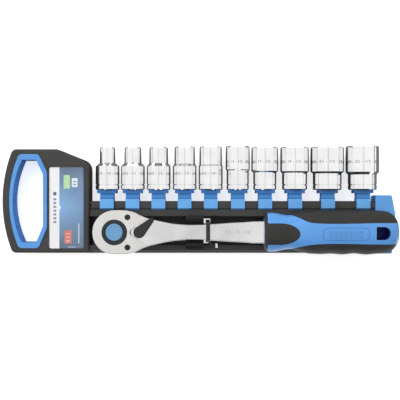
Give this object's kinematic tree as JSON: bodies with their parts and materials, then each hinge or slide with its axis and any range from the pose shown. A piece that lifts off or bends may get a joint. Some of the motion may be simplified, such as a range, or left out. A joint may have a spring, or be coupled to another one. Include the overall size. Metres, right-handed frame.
{
  "type": "socket wrench set on a carry rail",
  "caption": "Half-inch-drive reversible ratchet and a row of metric sockets held by sliding clips on a flat plastic carry rail with a grip at one end.",
  "frame": {"origin": "middle of the base, with the set lying on its back", "axes": "+X along the rail from the grip to the ratchet handle's end, +Y from the ratchet to the sockets' noses, +Z off the surface it lies on"},
  "size_m": [0.3516, 0.0965, 0.0477],
  "materials": {
    "black_rack": "fine moulded texture",
    "blue_liner": "satin",
    "printed_card": "printed",
    "clear_sheet": "clear sheet",
    "blue_clip": "satin",
    "black_clip": "glossy",
    "black_tie": "glossy",
    "socket_chrome": "satin chrome",
    "tool_chrome": "polished chrome",
    "black_steel": "black oxide",
    "hard_steel": "ground",
    "spring_steel": "drawn wire",
    "black_plastic": "satin",
    "blue_button": "satin",
    "blue_handle": "glossy",
    "black_grip": "soft matte"
  },
  "bodies": {
    "rail": {"rack_body": "black_rack", "carry_handle_liner": "blue_liner", "label_card": "printed_card", "label_cover": "clear_sheet", "rail_end_cap": "blue_clip", "ratchet_clip": "black_clip", "tie_back": "black_tie"},
    "ratchet": {"ratchet_body": "tool_chrome", "head_cover": "tool_chrome", "cover_screws": "black_steel", "handle_core": "blue_handle", "handle_grip_left": "black_grip", "handle_grip_right": "black_grip", "thumb_pad": "black_grip", "tie_loop": "black_tie"},
    "drive": {"drive_gear": "hard_steel", "gear_collar": "black_plastic", "button_spring": "spring_steel"},
    "release": {"release_button": "blue_button", "release_pin": "hard_steel"},
    "ball": {"detent_ball": "hard_steel"},
    "lever": {"selector_lever": "black_plastic", "selector_plunger": "hard_steel", "selector_spring": "spring_steel"},
    "pawl_body": {"pawl": "hard_steel"},
    "clip_10": {"socket_clip_10": "blue_clip"},
    "loose_10": {"socket_10": "socket_chrome"},
    "clip_11": {"socket_clip_11": "blue_clip"},
    "loose_11": {"socket_11": "socket_chrome"},
    "clip_12": {"socket_clip_12": "blue_clip"},
    "loose_12": {"socket_12": "socket_chrome"},
    "clip_13": {"socket_clip_13": "blue_clip"},
    "loose_13": {"socket_13": "socket_chrome"},
    "clip_14": {"socket_clip_14": "blue_clip"},
    "loose_14": {"socket_14": "socket_chrome"},
    "clip_15": {"socket_clip_15": "blue_clip"},
    "loose_15": {"socket_15": "socket_chrome"},
    "clip_17": {"socket_clip_17": "blue_clip"},
    "loose_17": {"socket_17": "socket_chrome"},
    "clip_19": {"socket_clip_19": "blue_clip"},
    "loose_19": {"socket_19": "socket_chrome"},
    "clip_21": {"socket_clip_21": "blue_clip"},
    "loose_21": {"socket_21": "socket_chrome"},
    "clip_22": {"socket_clip_22": "blue_clip"},
    "loose_22": {"socket_22": "socket_chrome"}
  },
  "joints": [
    {"name": "ratchet_lift", "type": "slide", "parent": "rail", "child": "ratchet", "axis": [0, 0, 1], "range_m": [0, 0.06]},
    {"name": "drive_spin", "type": "hinge", "parent": "ratchet", "child": "drive", "pos_m": [-0.074, -0.0286, 0.0335], "axis": [0, 0, 1], "continuous": true},
    {"name": "release_press", "type": "slide", "parent": "drive", "child": "release", "axis": [0, 0, -1], "range_m": [0, 0.002], "stiffness_N_per_m": 400, "springref_m": -0.002, "deforming": ["button_spring"]},
    {"name": "ball_retract", "type": "slide", "parent": "drive", "child": "ball", "axis": [0, 1, 0], "range_m": [0, 0.00075]},
    {"name": "selector_swing", "type": "hinge", "parent": "ratchet", "child": "lever", "pos_m": [-0.0522, -0.0286, 0.0335], "axis": [0, 0, 1], "range_deg": [-90, 0]},
    {"name": "pawl_shift", "type": "hinge", "parent": "ratchet", "child": "pawl_body", "pos_m": [-0.074, -0.0286, 0.0335], "axis": [0, 0, 1], "range_deg": [-16, 0]},
    {"name": "clip_slide_10", "type": "slide", "parent": "rail", "child": "clip_10", "axis": [1, 0, 0], "range_m": [-0.0045, 0.0013]},
    {"name": "socket_pull_10", "type": "slide", "parent": "clip_10", "child": "loose_10", "axis": [0, 1, 0], "range_m": [0, 0.025]},
    {"name": "clip_slide_11", "type": "slide", "parent": "rail", "child": "clip_11", "axis": [1, 0, 0], "range_m": [-0.0013, 0.0016]},
    {"name": "socket_pull_11", "type": "slide", "parent": "clip_11", "child": "loose_11", "axis": [0, 1, 0], "range_m": [0, 0.025]},
    {"name": "clip_slide_12", "type": "slide", "parent": "rail", "child": "clip_12", "axis": [1, 0, 0], "range_m": [-0.0016, 0.0018]},
    {"name": "socket_pull_12", "type": "slide", "parent": "clip_12", "child": "loose_12", "axis": [0, 1, 0], "range_m": [0, 0.025]},
    {"name": "clip_slide_13", "type": "slide", "parent": "rail", "child": "clip_13", "axis": [1, 0, 0], "range_m": [-0.0018, 0.0016]},
    {"name": "socket_pull_13", "type": "slide", "parent": "clip_13", "child": "loose_13", "axis": [0, 1, 0], "range_m": [0, 0.025]},
    {"name": "clip_slide_14", "type": "slide", "parent": "rail", "child": "clip_14", "axis": [1, 0, 0], "range_m": [-0.0016, 0.0023]},
    {"name": "socket_pull_14", "type": "slide", "parent": "clip_14", "child": "loose_14", "axis": [0, 1, 0], "range_m": [0, 0.025]},
    {"name": "clip_slide_15", "type": "slide", "parent": "rail", "child": "clip_15", "axis": [1, 0, 0], "range_m": [-0.0023, 0.0012]},
    {"name": "socket_pull_15", "type": "slide", "parent": "clip_15", "child": "loose_15", "axis": [0, 1, 0], "range_m": [0, 0.025]},
    {"name": "clip_slide_17", "type": "slide", "parent": "rail", "child": "clip_17", "axis": [1, 0, 0], "range_m": [-0.0012, 0.0015]},
    {"name": "socket_pull_17", "type": "slide", "parent": "clip_17", "child": "loose_17", "axis": [0, 1, 0], "range_m": [0, 0.025]},
    {"name": "clip_slide_19", "type": "slide", "parent": "rail", "child": "clip_19", "axis": [1, 0, 0], "range_m": [-0.0015, 0.0012]},
    {"name": "socket_pull_19", "type": "slide", "parent": "clip_19", "child": "loose_19", "axis": [0, 1, 0], "range_m": [0, 0.025]},
    {"name": "clip_slide_21", "type": "slide", "parent": "rail", "child": "clip_21", "axis": [1, 0, 0], "range_m": [-0.0012, 0.0013]},
    {"name": "socket_pull_21", "type": "slide", "parent": "clip_21", "child": "loose_21", "axis": [0, 1, 0], "range_m": [0, 0.025]},
    {"name": "clip_slide_22", "type": "slide", "parent": "rail", "child": "clip_22", "axis": [1, 0, 0], "range_m": [-0.0013, 0.0043]},
    {"name": "socket_pull_22", "type": "slide", "parent": "clip_22", "child": "loose_22", "axis": [0, 1, 0], "range_m": [0, 0.025]}
  ],
  "couplings": [
    {"joint": "ball_retract", "follows": "release_press", "ratio": 0.375},
    {"joint": "pawl_shift", "follows": "selector_swing", "ratio": 0.17778}
  ]
}
